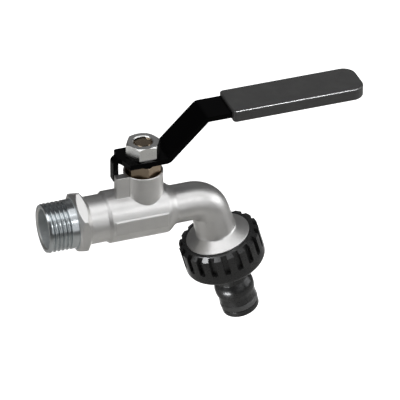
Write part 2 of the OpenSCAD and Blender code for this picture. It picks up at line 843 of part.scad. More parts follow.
module lever_nut() {
    corner_r = lever_nut_af / 2 / cos(30);
    flat_r = lever_nut_af / 2;
    bevel = (corner_r - flat_r) * tan(nut_bevel_angle);
    hole_r = stem_r + nut_gap;
    top = plate_top + lever_nut_h;
    sink = nut_sink_r - hole_r;
    color("lightgray")
        on_stem()
        difference() {
            intersection() {
                translate([0, 0, plate_top]) cylinder(r = corner_r, h = lever_nut_h, $fn = hex_sides);
                rotate_extrude()
                    polygon([
                        [0, plate_top],
                        [flat_r, plate_top],
                        [corner_r, plate_top + bevel],
                        [corner_r, top - bevel],
                        [flat_r, top],
                        [0, top],
                    ]);
            }
            rotate_extrude()
                polygon([
                    [0, plate_top - cut],
                    [nut_sink_r + cut, plate_top - cut],
                    [hole_r, plate_top + sink],
                    [hole_r, top - sink],
                    [nut_sink_r + cut, top + cut],
                    [0, top + cut],
                ]);
        }
}

// One grip slot of the hose nut, open at the top and with rounded lower corners.
module hose_slot() {
    half = slot_w / 2;
    r = slot_corner_r;
    bottom = hose_nut_s + slot_len;
    translate([slot_floor_r, 0, 0])
        rotate([90, 0, 90])
        linear_extrude(height = hose_nut_r - slot_floor_r + cut)
        polygon(concat(
            [[-half, hose_nut_s - cut], [half, hose_nut_s - cut]],
            arc(half - r, bottom - r, r, 0, 90, 3),
            arc(r - half, bottom - r, r, 90, 180, 3)
        ));
}

module hose_nut() {
    bore_r = outlet_thread_r + thread_fit;
    bottom = hose_nut_s + hose_nut_h;
    lip_s = flange_s + face_play;
    lead = rim_r - bore_r;
    color("dimgray")
        along_outlet()
        difference() {
            rotate_extrude()
                polygon(concat(
                    [[rim_r + thread_fit, hose_nut_s], [hose_nut_top_r, hose_nut_s]],
                    [[hose_nut_r, hose_nut_s + hose_nut_bevel_h]],
                    arc(hose_nut_r - hose_nut_edge_r, bottom - hose_nut_edge_r, hose_nut_edge_r, 0, 90),
                    [[lip_hole_r + edge_bevel, bottom], [lip_hole_r, bottom - edge_bevel]],
                    [[lip_hole_r, lip_s], [hose_hollow_r, lip_s]],
                    [[hose_hollow_r, outlet_end_s + 2 * edge_bevel], [bore_r, outlet_end_s + edge_bevel]],
                    [[bore_r, hose_nut_s + lead]]
                ));
            for (i = [0:slot_count - 1]) rotate([0, 0, slot_start + i * slot_pitch]) hose_slot();
        }
}

module hose_washer() {
    color("darkslategray") along_outlet() ring(washer_r, washer_hole_r, outlet_end_s, washer_t);
}

module nipple() {
    flange_top = flange_s - flange_t;
    guide_end = hose_nut_s + hose_nut_h - guide_gap;
    bulge_end = bulge_s + bulge_len;
    groove_end = groove_s + groove_w;
    edge = nipple_edge_r;
    color("dimgray")
        along_outlet()
        rotate_extrude()
        polygon(concat(
            [[nipple_bore_r, flange_top], [flange_r, flange_top], [flange_r, flange_s]],
            [[guide_r, flange_s], [guide_r, guide_end], [nipple_neck_r + edge_bevel, guide_end + edge_bevel]],
            [[nipple_neck_r, guide_end + 2 * edge_bevel], [nipple_neck_r, nipple_neck_s]],
            [[ramp_r, ramp_s], [bulge_r, bulge_s]],
            [[bulge_r, bulge_end], [spigot_r, spigot_s], [spigot_r, groove_s]],
            [[groove_floor_r, groove_s], [groove_floor_r, groove_end], [spigot_r, groove_end]],
            arc(spigot_r - edge, nipple_end_s - edge, edge, 0, 90),
            [[nipple_bore_r + edge_bevel, nipple_end_s], [nipple_bore_r, nipple_end_s - edge_bevel]]
        ));
}

module nipple_seal() {
    r = seal_edge_r;
    low = groove_s + seal_gap + r;
    high = groove_s + groove_w - seal_gap - r;
    outer = spigot_r + seal_rise - r;
    color("gray")
        along_outlet()
        rotate_extrude()
        polygon(concat(
            [[groove_floor_r, low - r]],
            arc(outer, low, r, -90, 0),
            arc(outer, high, r, 0, 90),
            [[groove_floor_r, high + r]]
        ));
}

tap_body();
ball_retainer();
inlet_seat();
outlet_seat();
ball();
stem();
stem_thrust_washer();
stem_packing();
gland_nut();
lever();
lever_grip();
lever_nut();
hose_nut();
hose_washer();
nipple();
nipple_seal();
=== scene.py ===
"""Looks of a lever-operated garden tap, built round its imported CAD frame.

Each sub-assembly is a class: it copies or rebuilds the meshes of its CAD nodes, dresses them
with procedural finishes and hands them to the body that they ride on. The tap's sizes are in
millimetres, meshes and the studio are in metres, and directions are in degrees.
"""

import logging
import math
from collections.abc import Callable, Iterable, Sequence
from dataclasses import dataclass
from enum import Enum, IntEnum
from typing import ClassVar

import bmesh
import bpy
import numpy as np
from mathutils import Matrix, Vector
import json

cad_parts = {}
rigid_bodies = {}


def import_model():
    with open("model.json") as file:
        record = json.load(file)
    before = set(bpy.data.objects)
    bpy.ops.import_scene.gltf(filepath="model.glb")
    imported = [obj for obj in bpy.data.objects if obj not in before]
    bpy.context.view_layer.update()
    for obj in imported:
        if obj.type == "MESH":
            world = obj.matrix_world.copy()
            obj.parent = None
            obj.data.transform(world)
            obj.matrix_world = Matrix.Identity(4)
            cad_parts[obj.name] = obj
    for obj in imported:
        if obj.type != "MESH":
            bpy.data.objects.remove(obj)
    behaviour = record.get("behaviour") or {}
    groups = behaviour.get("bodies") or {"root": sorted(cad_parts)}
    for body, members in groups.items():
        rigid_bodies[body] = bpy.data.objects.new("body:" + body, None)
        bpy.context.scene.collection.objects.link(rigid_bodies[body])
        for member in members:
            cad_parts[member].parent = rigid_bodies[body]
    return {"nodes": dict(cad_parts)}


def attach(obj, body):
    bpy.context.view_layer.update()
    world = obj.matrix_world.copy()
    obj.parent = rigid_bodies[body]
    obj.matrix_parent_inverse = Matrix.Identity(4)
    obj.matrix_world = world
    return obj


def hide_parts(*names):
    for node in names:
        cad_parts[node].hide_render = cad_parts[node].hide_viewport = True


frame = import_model()

LOG = logging.getLogger("tap")
MM = 0.001
FULL_TURN = 2 * math.pi

Color = tuple[float, float, float]
Point = tuple[float, float, float]
Span = tuple[float, float]
Loop = list[bmesh.types.BMVert]
Faces = list[bmesh.types.BMFace]

BLACK: Color = (0.0, 0.0, 0.0)
WHITE: Color = (1.0, 1.0, 1.0)


class Body(Enum):
    """Rigid bodies of the frame that pieces ride on."""

    TAP = "tap"
    LEVER = "lever_group"
    NIPPLE = "nipple_group"
    NUT = "nut_group"


class Slot(Enum):
    """Material slots of the record."""

    PLATED = "plated_body"
    BRASS = "bare_brass"
    SEAL = "white_seal"
    BALL = "polished_ball"
    BLACK_STEEL = "black_steel"
    SLEEVE = "grey_sleeve"
    BRIGHT_STEEL = "bright_steel"
    BLACK_PLASTIC = "black_plastic"
    RUBBER = "seal_rubber"


class Skin(IntEnum):
    """Material slots on the tap's body, in order, by how the metal there was worked; the bore's
    slot is also lightened as painted light.
    """

    BLASTED = 0
    INLET_TURNED = 1
    OUTLET_TURNED = 2
    BORE_TURNED = 3


def smooth(t: float) -> float:
    """A smooth step from 0 at t = 0 to 1 at t = 1."""
    t = min(max(t, 0.0), 1.0)
    return t * t * (3 - 2 * t)


def towards(azimuth: float, elevation: float) -> Vector:
    """The unit vector from the tap to a direction, where azimuth 0 is its front."""
    a, e = math.radians(azimuth), math.radians(elevation)
    return Vector((math.sin(a) * math.cos(e), -math.cos(a) * math.cos(e), math.sin(e)))


class Tree:
    """A node tree, with one way to add nodes, and maths through Num."""

    def __init__(self, tree: bpy.types.NodeTree) -> None:
        """Keeps the tree that the nodes go into."""
        self.tree = tree

    def node(
        self,
        kind: str,
        settings: dict[str, object] | None = None,
        inputs: dict[str | int, object] | None = None,
    ) -> bpy.types.Node:
        """Adds a node.

        Args:
            kind: the node's type name.
            settings: attributes to set on the node.
            inputs: values, sockets or Num for its input sockets, by name or number.

        Returns:
            The new node.
        """
        made = self.tree.nodes.new(kind)
        for key, value in (settings or {}).items():
            setattr(made, key, value)
        for key, value in (inputs or {}).items():
            self.feed(value, made.inputs[key])
        return made

    def feed(self, value: object, socket: bpy.types.NodeSocket) -> None:
        """Links or sets a value on an input socket.

        Args:
            value: a Num, an output socket or a plain value.
            socket: the input socket.
        """
        if isinstance(value, Num):
            value = value.socket
        if isinstance(value, bpy.types.NodeSocket):
            self.tree.links.new(value, socket)
        elif isinstance(value, tuple) and len(value) == 3 and socket.type == "RGBA":
            socket.default_value = (*value, 1.0)
        else:
            socket.default_value = value


@dataclass(frozen=True)
class Num:
    """A number in a node tree that takes part in plain Python sums."""

    tree: Tree
    socket: bpy.types.NodeSocket

    def work_out(self, operation: str, a: "float | Num", b: "float | Num" = 0.0) -> "Num":
        """The result of one more Math node."""
        made = self.tree.node("ShaderNodeMath", {"operation": operation}, {0: a, 1: b})
        return Num(self.tree, made.outputs[0])

    def __add__(self, other: "float | Num") -> "Num":
        """This number plus another."""
        return self.work_out("ADD", self, other)

    def __radd__(self, other: float) -> "Num":
        """A plain number plus this one."""
        return self.work_out("ADD", other, self)

    def __sub__(self, other: "float | Num") -> "Num":
        """This number less another."""
        return self.work_out("SUBTRACT", self, other)

    def __rsub__(self, other: float) -> "Num":
        """A plain number less this one."""
        return self.work_out("SUBTRACT", other, self)

    def __mul__(self, other: "float | Num") -> "Num":
        """This number times another."""
        return self.work_out("MULTIPLY", self, other)

    def __rmul__(self, other: float) -> "Num":
        """A plain number times this one."""
        return self.work_out("MULTIPLY", other, self)

    def __truediv__(self, other: "float | Num") -> "Num":
        """This number over another."""
        return self.work_out("DIVIDE", self, other)

    def __rtruediv__(self, other: float) -> "Num":
        """A plain number over this one."""
        return self.work_out("DIVIDE", other, self)

    def __neg__(self) -> "Num":
        """This number with its sign turned."""
        return self.work_out("MULTIPLY", self, -1.0)

    def __abs__(self) -> "Num":
        """This number without its sign."""
        return self.work_out("ABSOLUTE", self)

    def clamp(self, low: float, high: float) -> "Num":
        """This number, kept between two limits."""
        capped = self.work_out("MINIMUM", self, high)
        return self.work_out("MAXIMUM", capped, low)

    def step(self, low: float, high: float) -> "Num":
        """Adds a smooth step.

        Args:
            low: value that gives 0.
            high: value that gives 1.

        Returns:
            A number from 0 to 1.
        """
        made = self.tree.node(
            "ShaderNodeMapRange",
            {"interpolation_type": "SMOOTHSTEP"},
            {"Value": self, "From Min": low, "From Max": high},
        )
        return Num(self.tree, made.outputs["Result"])


class Graph(Tree):
    """The shader nodes of a new material."""

    # The Mix node's sockets for colours, whose names others share.
    MIX_FACTOR, MIX_A, MIX_B, MIX_RESULT = 0, 6, 7, 2
    EDGE_SAMPLES = 6

    def __init__(self, name: str) -> None:
        """Makes the material with an empty tree.

        Args:
            name: name of the new material.
        """
        self.material = bpy.data.materials.new(name)
        self.material.use_nodes = True
        super().__init__(self.material.node_tree)
        self.tree.nodes.clear()

    def coordinates(self) -> bpy.types.NodeSocket:
        """The object's own coordinates, in metres."""
        return self.node("ShaderNodeTexCoord").outputs["Object"]

    def noise(self, size_mm: float, detail: float = 2.0, roughness: float = 0.5) -> Num:
        """Adds a noise texture.

        Args:
            size_mm: size of its cells.
            detail: number of finer octaves.
            roughness: weight of the finer octaves.

        Returns:
            Noise from 0 to 1.
        """
        made = self.node(
            "ShaderNodeTexNoise",
            {"noise_dimensions": "3D"},
            {
                "Vector": self.coordinates(),
                "Scale": 1 / (size_mm * MM),
                "Detail": detail,
                "Roughness": roughness,
            },
        )
        return Num(self, made.outputs["Fac"])

    def cells(self, size_mm: float) -> Num:
        """Adds a texture of irregular cells.

        Args:
            size_mm: size of the cells.

        Returns:
            Distance to the nearest cell centre, from 0 to about 1.
        """
        made = self.node(
            "ShaderNodeTexVoronoi",
            {"feature": "F1"},
            {"Vector": self.coordinates(), "Scale": 1 / (size_mm * MM)},
        )
        return Num(self, made.outputs["Distance"])

    def along(self, direction: Point) -> Num:
        """Measures along a direction.

        Args:
            direction: a unit vector in the row frame.

        Returns:
            The place along that direction, in millimetres.
        """
        made = self.node(
            "ShaderNodeVectorMath",
            {"operation": "DOT_PRODUCT"},
            {0: self.coordinates(), 1: direction},
        )
        return Num(self, made.outputs["Value"]) * (1 / MM)

    def mix(self, factor: "float | Num", a: Color, b: Color) -> bpy.types.NodeSocket:
        """Mixes two colours.

        Args:
            factor: 0 for a, 1 for b.
            a: the first colour.
            b: the second colour.

        Returns:
            The mixed colour.
        """
        made = self.node(
            "ShaderNodeMix",
            {"data_type": "RGBA", "blend_type": "MIX"},
            {self.MIX_FACTOR: factor, self.MIX_A: a, self.MIX_B: b},
        )
        return made.outputs[self.MIX_RESULT]

    def bump(self, height: Num, depth_mm: float, edge_mm: float) -> bpy.types.NodeSocket:
        """Turns a relief into a bumped normal.

        Args:
            height: relief from 0 to 1.
            depth_mm: depth of the full relief.
            edge_mm: radius that the edges are softened with, or 0 for none.

        Returns:
            The bumped normal.
        """
        inputs: dict[str | int, object] = {"Height": height, "Distance": depth_mm * MM}
        if edge_mm:
            soft = self.node(
                "ShaderNodeBevel", {"samples": self.EDGE_SAMPLES}, {"Radius": edge_mm * MM}
            )
            inputs["Normal"] = soft.outputs["Normal"]
        return self.node("ShaderNodeBump", inputs=inputs).outputs["Normal"]

    def surface(self, inputs: dict[str | int, object]) -> None:
        """Adds the main shader with its inputs and links it to the output."""
        shader = self.node("ShaderNodeBsdfPrincipled", inputs=inputs)
        self.node("ShaderNodeOutputMaterial", inputs={"Surface": shader.outputs["BSDF"]})


@dataclass(frozen=True)
class Finish:
    """A surface finish: a base colour, a slow tone change, fine grain and slight wear."""

    name: str
    color: Color
    dark: Color
    roughness: float
    swing: float
    metallic: float = 0.0
    specular: float = 0.5
    grain_mm: float = 0.3
    grain_depth_mm: float = 0.004
    tone_mm: float = 9.0
    tone_limits: Span = (0.35, 0.75)
    wear_grains: float = 4.0
    edge_mm: float = 0.0

    def relief(self, graph: Graph) -> Num:
        """The fine relief, from 0 to 1."""
        return graph.noise(self.grain_mm, detail=3.0, roughness=0.6)

    def tone(self, graph: Graph) -> Num:
        """Where the colour leans to its darker tone, from 0 to 1."""
        return graph.noise(self.tone_mm, detail=4.0, roughness=0.55).step(*self.tone_limits)

    def build(self) -> bpy.types.Material:
        """Builds the finish's shader.

        Returns:
            The finished material.
        """
        graph = Graph(self.name)
        wear = graph.noise(self.grain_mm * self.wear_grains) - 0.5
        graph.surface(
            {
                "Base Color": graph.mix(self.tone(graph), self.color, self.dark),
                "Roughness": self.roughness + wear * self.swing,
                "Metallic": self.metallic,
                "Specular IOR Level": self.specular,
                "Normal": graph.bump(self.relief(graph), self.grain_depth_mm, self.edge_mm),
            }
        )
        return graph.material


@dataclass(frozen=True)
class BlastedPlate(Finish):
    """Satin plating over a shot-blasted forging: shallow round dimples over fine grain."""

    metallic: float = 1.0
    dimple_mm: float = 0.55
    dimple_edge: float = 0.9
    dimple_share: float = 0.6

    def relief(self, graph: Graph) -> Num:
        """Mixes the dimples with the grain.

        Args:
            graph: the material's graph.

        Returns:
            The relief, from 0 to 1.
        """
        dimples = graph.cells(self.dimple_mm).step(0.0, self.dimple_edge)
        grain = super().relief(graph)
        return dimples * self.dimple_share + grain * (1 - self.dimple_share)


@dataclass(frozen=True)
class TurnedMetal(Finish):
    """Machined metal with fine tool marks round an axis."""

    metallic: float = 1.0
    axis: Point = (0.0, 0.0, 1.0)
    feed_mm: float = 0.12

    def relief(self, graph: Graph) -> Num:
        """Lays ring-shaped tool marks along the axis.

        Args:
            graph: the material's graph.

        Returns:
            The relief, from 0 to 1.
        """
        marks = graph.node(
            "ShaderNodeTexNoise",
            {"noise_dimensions": "1D"},
            {"W": graph.along(self.axis) / self.feed_mm, "Scale": 1.0, "Detail": 2.0},
        )
        return Num(graph, marks.outputs["Fac"])


@dataclass(frozen=True)
class MouldedPlastic(Finish):
    """Moulded plastic: a slow waviness under a very fine matt texture."""

    wave_mm: float = 3.0
    wave_share: float = 0.7

    def relief(self, graph: Graph) -> Num:
        """Mixes the waviness with the texture.

        Args:
            graph: the material's graph.

        Returns:
            The relief, from 0 to 1.
        """
        waves = graph.noise(self.wave_mm, detail=1.0)
        texture = graph.noise(self.grain_mm)
        return waves * self.wave_share + texture * (1 - self.wave_share)


class Finishes:
    """The material of every finish of the tap, built once."""

    def __init__(self, spout_axis: Point) -> None:
        """Builds the materials.

        Args:
            spout_axis: direction of the outlet's axis.
        """
        body_axis = (1.0, 0.0, 0.0)
        self.blasted = BlastedPlate(
            "blasted_nickel", (0.82, 0.81, 0.79), (0.77, 0.76, 0.74), roughness=0.41,
            swing=0.05, grain_mm=0.16, grain_depth_mm=0.008, tone_mm=7.0, edge_mm=0.55,
        ).build()
        self.inlet_turned = TurnedMetal(
            "turned_nickel_inlet", (0.64, 0.67, 0.68), (0.58, 0.61, 0.62), roughness=0.2,
            swing=0.04, grain_depth_mm=0.0002, axis=body_axis,
        ).build()
        # The bore's turned nickel is lighter and rougher than the inlet's: painted light in the
        # shaded bore.
        self.bore_turned_painted_light = TurnedMetal(
            "turned_nickel_bore", (0.76, 0.79, 0.79), (0.69, 0.72, 0.72), roughness=0.55,
            swing=0.06, metallic=0.8, grain_depth_mm=0.001, axis=body_axis,
        ).build()
        self.outlet_turned = TurnedMetal(
            "turned_nickel_outlet", (0.64, 0.65, 0.65), (0.56, 0.57, 0.57), roughness=0.24,
            swing=0.06, grain_depth_mm=0.001, axis=spout_axis,
        ).build()
        self.brass = TurnedMetal(
            "turned_brass", (0.44, 0.345, 0.25), (0.38, 0.295, 0.21), roughness=0.24,
            swing=0.06, grain_depth_mm=0.0008,
        ).build()
        self.zinc = TurnedMetal(
            "bright_zinc", (0.95, 0.945, 0.92), (0.88, 0.875, 0.85), roughness=0.26,
            swing=0.06, grain_depth_mm=0.0006, feed_mm=0.2,
        ).build()
        self.ball = Finish(
            "polished_ball", (0.78, 0.78, 0.8), (0.72, 0.72, 0.74), roughness=0.07,
            swing=0.03, metallic=1.0, grain_depth_mm=0.0006,
        ).build()
        self.seal = Finish(
            "white_seal", (0.86, 0.86, 0.84), (0.8, 0.8, 0.77), roughness=0.45, swing=0.1,
        ).build()
        self.black_steel = Finish(
            "coated_steel", (0.0006, 0.0006, 0.0007), (0.001, 0.001, 0.0011),
            roughness=0.14, swing=0.04, specular=0.06, grain_mm=1.2, grain_depth_mm=0.001,
        ).build()
        self.sleeve = MouldedPlastic(
            "dipped_sleeve", (0.062, 0.0612, 0.0595), (0.071, 0.07, 0.0675),
            roughness=0.24, swing=0.06, grain_mm=0.25, wave_mm=5.0,
        ).build()
        self.plastic = MouldedPlastic(
            "black_plastic", (0.022, 0.022, 0.0215), (0.028, 0.028, 0.0275),
            roughness=0.28, swing=0.06, grain_mm=0.18, grain_depth_mm=0.005,
        ).build()
        self.rubber = MouldedPlastic(
            "seal_rubber", (0.12, 0.12, 0.118), (0.14, 0.14, 0.138), roughness=0.4,
            swing=0.08, grain_mm=0.2,
        ).build()


def bake(made: bpy.types.Object) -> None:
    """Turns an object's modifiers into plain mesh.

    Args:
        made: the object.
    """
    graph = bpy.context.evaluated_depsgraph_get()
    graph.update()
    plain = bpy.data.meshes.new_from_object(
        made.evaluated_get(graph), preserve_all_data_layers=True, depsgraph=graph
    )
    old = made.data
    made.modifiers.clear()
    made.data = plain
    plain.name = made.name
    if old.users == 0:
        bpy.data.meshes.remove(old)


def link_mesh(
    name: str, mesh: bpy.types.Mesh, materials: Sequence[bpy.types.Material]
) -> bpy.types.Object:
    """Puts a mesh in the scene.

    Args:
        name: name of the object.
        mesh: its mesh.
        materials: its materials, in slot order.

    Returns:
        The object.
    """
    for material in materials:
        mesh.materials.append(material)
    made = bpy.data.objects.new(name, mesh)
    bpy.context.scene.collection.objects.link(made)
    return made


class Shell:
    """A working copy of a CAD node's mesh, with its vertices merged and its flats dissolved."""

    MERGE_M = 2e-6  # vertices that are closer than this become one
    FLAT_DEG = 0.4  # facets that turn less than this are one flat
    BEVEL_DEG = 28.0  # edges that turn more than this get a bevel
    SHARP_DEG = 32.0  # edges that turn more than this aren't shaded smooth
    BEVEL_FACETS = 2

    def __init__(self, node: str) -> None:
        """Copies a CAD node's mesh.

        Args:
            node: name of the CAD node.
        """
        self.bm = bmesh.new()
        self.bm.from_mesh(frame["nodes"][node].data)
        bmesh.ops.remove_doubles(self.bm, verts=self.bm.verts[:], dist=self.MERGE_M)
        bmesh.ops.dissolve_limit(
            self.bm,
            angle_limit=math.radians(self.FLAT_DEG),
            verts=self.bm.verts[:],
            edges=self.bm.edges[:],
        )
        bmesh.ops.recalc_face_normals(self.bm, faces=self.bm.faces[:])

    def drop(self, test: Callable[[Vector], bool]) -> None:
        """Deletes the faces whose corners, in metres, all pass a test."""
        gone = [f for f in self.bm.faces if all(test(v.co) for v in f.verts)]
        bmesh.ops.delete(self.bm, geom=gone, context="FACES")

    def rims(self) -> list[Loop]:
        """Finds the open boundary loops.

        Returns:
            Each loop as its vertices in order.
        """
        left = {e for e in self.bm.edges if e.is_boundary}
        loops: list[Loop] = []
        while left:
            edge = left.pop()
            loop = [edge.verts[0], edge.verts[1]]
            while step := next((e for e in loop[-1].link_edges if e in left), None):
                left.remove(step)
                loop.append(step.other_vert(loop[-1]))
            if loop[-1] is loop[0]:
                loop.pop()
            loops.append(loop)
        return loops

    def soften(self, width_mm: float) -> None:
        """Bevels the sharp edges.

        Args:
            width_mm: width of the bevel.
        """
        limit = math.radians(self.BEVEL_DEG)
        sharp = [
            e
            for e in self.bm.edges
            if len(e.link_faces) == 2 and e.calc_face_angle(0.0) > limit
        ]
        bmesh.ops.bevel(
            self.bm,
            geom=sharp,
            offset=width_mm * MM,
            offset_type="OFFSET",
            segments=self.BEVEL_FACETS,
            profile=0.5,
            affect="EDGES",
            clamp_overlap=True,
            loop_slide=True,
        )

    def to_object(
        self, name: str, materials: Sequence[bpy.types.Material]
    ) -> bpy.types.Object:
        """Makes the finished object: smooth, with sharp edges and flats that stay flat.

        Args:
            name: name of the object.
            materials: its materials, in slot order.

        Returns:
            The object, linked to the scene.
        """
        limit = math.radians(self.SHARP_DEG)
        for face in self.bm.faces:
            face.smooth = True
        for edge in self.bm.edges:
            edge.smooth = len(edge.link_faces) == 2 and edge.calc_face_angle(0.0) < limit
        mesh = bpy.data.meshes.new(name)
        self.bm.to_mesh(mesh)
        self.bm.free()
        made = link_mesh(name, mesh, materials)
        weights = made.modifiers.new("weights", "WEIGHTED_NORMAL")
        weights.mode = "FACE_AREA"
        weights.keep_sharp = True
        bake(made)
        return made


@dataclass(frozen=True)
class Place:
    """An axis with two radial directions, right-handed: u x v = w."""

    origin: Vector
    u: Vector
    v: Vector
    w: Vector

    def point(self, angle: float, radius: float, along: float) -> Vector:
        """The point, in metres, at an angle in radians, a radius and a place in millimetres."""
        side = self.u * math.cos(angle) + self.v * math.sin(angle)
        return (self.origin + side * radius + self.w * along) * MM

    def read(self, co: Vector) -> tuple[float, float, float]:
        """Finds where a point lies about the axis.

        Args:
            co: the point, in metres.

        Returns:
            Its angle, radius and place along the axis, in radians and millimetres.
        """
        off = co / MM - self.origin
        x, y = off.dot(self.u), off.dot(self.v)
        return math.atan2(y, x) % FULL_TURN, math.hypot(x, y), off.dot(self.w)

    def matrix(self) -> Matrix:
        """The transform from the axis' own frame to the row frame, both in metres."""
        rows = [(self.u[i], self.v[i], self.w[i], self.origin[i] * MM) for i in range(3)]
        return Matrix([*rows, (0.0, 0.0, 0.0, 1.0)])


@dataclass(frozen=True)
class ThreadForm:
    """A pipe thread's form: 55 degree flanks with rounded crests and roots."""

    DEPTH: ClassVar[float] = 0.640327  # depth of the groove for a pitch of 1
    FLAT: ClassVar[float] = 1 / 6  # share of half a pitch that a crest or a root takes
    STRAIGHT: ClassVar[float] = 0.55  # how straight a flank is between crest and root

    crest_r: float
    pitch: float
    phase: float

    @property
    def depth(self) -> float:
        """Depth from crest to root, in millimetres."""
        return self.DEPTH * self.pitch

    def share(self, angle: float, along: float) -> float:
        """Finds how deep the groove is at a place.

        Args:
            angle: angle about the axis, in radians.
            along: place along the axis, in millimetres.

        Returns:
            The depth, from 0 on a crest to 1 on a root.
        """
        turn = (along / self.pitch - angle / FULL_TURN - self.phase) % 1.0
        off = abs(turn - 0.5) * 2
        t = min(max((1 - off - self.FLAT) / (1 - 2 * self.FLAT), 0.0), 1.0)
        return self.STRAIGHT * t + (1 - self.STRAIGHT) * smooth(t)

    def root_at(self, angle: float, near: float) -> float:
        """The place of the groove's root at an angle that is next to a given place."""
        base = (angle / FULL_TURN + self.phase + 0.5) * self.pitch
        return base + round((near - base) / self.pitch) * self.pitch


@dataclass(frozen=True)
class MaleThread:
    """A threaded stretch of a turned part, cut as a height field.

    The outline is the uncut part's, as places along the axis with their radii. The groove
    deepens over fade_in and runs out over fade_out, and covers tells, for a radius and a
    place, whether a point lies on the surface that the thread takes the place of.
    """

    place: Place
    form: ThreadForm
    outline: tuple[Span, ...]
    fade_in: Span
    fade_out: Span
    covers: Callable[[float, float], bool]
    columns: int = 120
    rows_per_pitch: int = 14
    seam: float = 0.012
    snap: float = 0.3

    def radius(self, angle: float, s: float) -> float:
        """Finds the cut surface's radius.

        Args:
            angle: angle about the axis, in radians.
            s: place along the axis, in millimetres.

        Returns:
            The radius, in millimetres.
        """
        places, radii = zip(*self.outline)
        (a, b), (c, d) = self.fade_in, self.fade_out
        fade = smooth((s - a) / (b - a)) * smooth((d - s) / (d - c))
        cut = self.form.crest_r - self.form.depth * fade * self.form.share(angle, s)
        return min(float(np.interp(s, places, radii)), cut)

    def vertex(self, bm: bmesh.types.BMesh, angle: float, s: float) -> bmesh.types.BMVert:
        """A new vertex of the cut surface."""
        return bm.verts.new(self.place.point(angle, self.radius(angle, s), s))

    def column(self, bm: bmesh.types.BMesh, share: float) -> Loop:
        """Lays a column of vertices along the axis, shifted with the helix.

        Args:
            bm: the mesh.
            share: the column's place round the axis, as a share of a turn.

        Returns:
            Its vertices, with the end's own vertex for each that falls past an end.
        """
        angle, turn = FULL_TURN * share, self.rows_per_pitch
        step = self.form.pitch / self.rows_per_pitch
        start, end = self.outline[0][0] + self.seam, self.outline[-1][0] - self.seam
        first, last = self.vertex(bm, angle, start), self.vertex(bm, angle, end)
        column = []
        for k in range(-turn, math.ceil((end - start) / step) + turn + 1):
            s = start + (k + turn * share) * step
            if s < start + self.snap * step:
                column.append(first)
            elif s > end - self.snap * step:
                column.append(last)
            else:
                column.append(self.vertex(bm, angle, s))
        return column

    def surface(self, bm: bmesh.types.BMesh) -> tuple[Loop, Loop, Faces]:
        """Lays the cut surface as a grid whose rows follow the helix.

        Args:
            bm: the mesh.

        Returns:
            The loop at its start, the loop at its end, and the faces.
        """
        turn = self.rows_per_pitch
        columns = [self.column(bm, i / self.columns) for i in range(self.columns)]
        closing = columns[0][turn:] + [columns[0][-1]] * turn
        faces = []
        for left, right in zip(columns, [*columns[1:], closing]):
            for corners in zip(left, right, right[1:], left[1:]):
                ring = list(dict.fromkeys(corners))
                if len(ring) > 2:
                    faces.append(bm.faces.new(ring))
        return [c[0] for c in columns], [c[-1] for c in columns], faces

    def stitch(self, bm: bmesh.types.BMesh, row: Loop, rim: Loop, forward: bool) -> Faces:
        """Joins two loops round the axis with triangles.

        Args:
            bm: the mesh.
            row: the new surface's end loop.
            rim: the loop left in the shell.
            forward: whether the rim lies further along the axis than the row.

        Returns:
            The new faces.
        """
        a = sorted((self.place.read(v.co)[0], i, v) for i, v in enumerate(row))
        b = sorted((self.place.read(v.co)[0], i, v) for i, v in enumerate(rim))
        faces = []
        i = j = 0
        while i < len(a) or j < len(b):
            next_a, next_b = a[(i + 1) % len(a)], b[(j + 1) % len(b)]
            angle_a = next_a[0] + (FULL_TURN if i + 1 >= len(a) else 0.0)
            angle_b = next_b[0] + (FULL_TURN if j + 1 >= len(b) else 0.0)
            along_row = j >= len(b) or (i < len(a) and angle_a <= angle_b)
            corner = next_a[2] if along_row else next_b[2]
            ring = (a[i % len(a)][2], corner, b[j % len(b)][2])
            i, j = (i + 1, j) if along_row else (i, j + 1)
            if len(set(ring)) == 3:
                faces.append(bm.faces.new(ring if forward else ring[::-1]))
        return faces

    def cut(self, shell: Shell, slot: int) -> None:
        """Replaces the plain cylinder of a shell with the threaded surface.

        Args:
            shell: the shell of the part.
            slot: material slot of the new faces.
        """
        shell.drop(lambda co: self.covers(*self.place.read(co)[1:]))
        first, last, faces = self.surface(shell.bm)
        rims = [rim for rim in shell.rims() if {*first, *last}.isdisjoint(rim)]
        for row, target in ((first, self.outline[0][0]), (last, self.outline[-1][0])):
            rim = min(rims, key=lambda loop: abs(self.place.read(loop[0].co)[2] - target))
            rims.remove(rim)
            faces += self.stitch(shell.bm, row, rim, forward=row is last)
        for face in faces:
            face.material_index = slot


